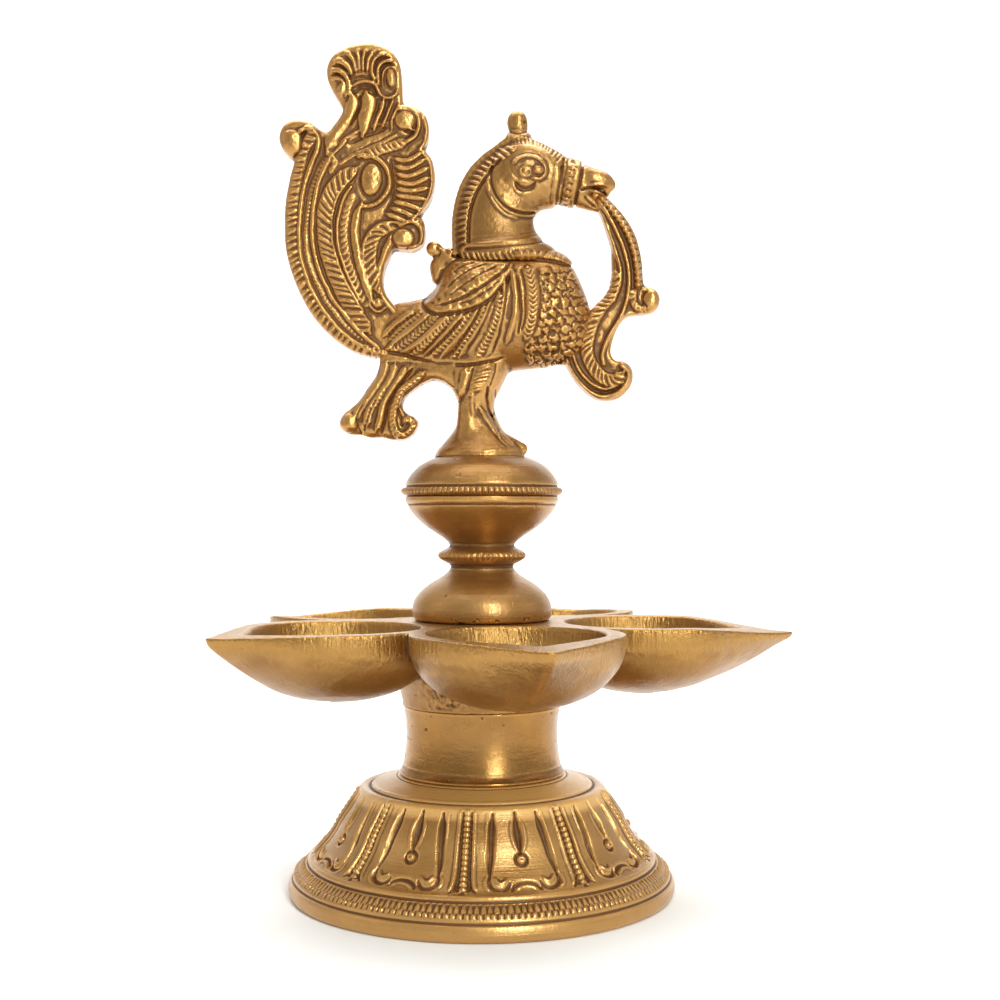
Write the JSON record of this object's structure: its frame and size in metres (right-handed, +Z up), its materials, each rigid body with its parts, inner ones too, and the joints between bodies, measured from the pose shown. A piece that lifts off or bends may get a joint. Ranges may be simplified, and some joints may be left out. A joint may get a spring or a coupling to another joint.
{
  "type": "standing oil lamp",
  "caption": "Cast brass standing oil lamp: engraved bell foot, waisted column, spouted oil cups around a hub, and a vase finial carrying a bird with a scrolled tail; the sections unscrew.",
  "frame": {"origin": "centre of the foot's standing circle, on the floor plane", "axes": "+Z up the lamp's axis; +X towards the bird's beak; -Y is the side the bird shows in the picture"},
  "size_m": [0.1244, 0.1278, 0.1899],
  "materials": {
    "foot_brass": "satin, engraved, dark in the recesses",
    "turned_brass": "satin, lathe turned",
    "dish_brass": "satin, filed rims, rough cast hub",
    "bird_brass": "satin, chased, dark in the recesses",
    "stud_brass": "plain turned"
  },
  "bodies": {
    "foot": {"foot": "foot_brass"},
    "column_stud": {"column_stud": "stud_brass"},
    "column": {"column": "turned_brass"},
    "dish_stud": {"dish_stud": "stud_brass"},
    "dish": {"five_wick_dish": "dish_brass"},
    "finial_stud": {"finial_stud": "stud_brass"},
    "finial": {"baluster": "turned_brass", "vase_cap": "turned_brass", "bird_spigot": "stud_brass", "bird_body": "bird_brass", "bird_neck_head": "bird_brass", "tail_fan": "bird_brass", "garland": "bird_brass"}
  },
  "joints": [
    {"name": "column_rise", "type": "slide", "parent": "foot", "child": "column_stud", "axis": [0, 0, 1], "range_m": [0, 0.00635]},
    {"name": "column_turn", "type": "hinge", "parent": "column_stud", "child": "column", "pos_m": [0, 0, 0.026], "axis": [0, 0, 1], "range_deg": [0, 1800]},
    {"name": "dish_rise", "type": "slide", "parent": "column", "child": "dish_stud", "axis": [0, 0, 1], "range_m": [0, 0.00635]},
    {"name": "dish_turn", "type": "hinge", "parent": "dish_stud", "child": "dish", "pos_m": [0, 0, 0.0415], "axis": [0, 0, 1], "range_deg": [0, 1800]},
    {"name": "finial_rise", "type": "slide", "parent": "dish", "child": "finial_stud", "axis": [0, 0, 1], "range_m": [0, 0.00635]},
    {"name": "finial_turn", "type": "hinge", "parent": "finial_stud", "child": "finial", "pos_m": [0, 0, 0.0603], "axis": [0, 0, 1], "range_deg": [0, 1800]}
  ],
  "couplings": [
    {"joint": "column_rise", "follows": "column_turn", "m_per_rad": 0.00019894},
    {"joint": "dish_rise", "follows": "dish_turn", "m_per_rad": 0.00019894},
    {"joint": "finial_rise", "follows": "finial_turn", "m_per_rad": 0.00019894}
  ]
}
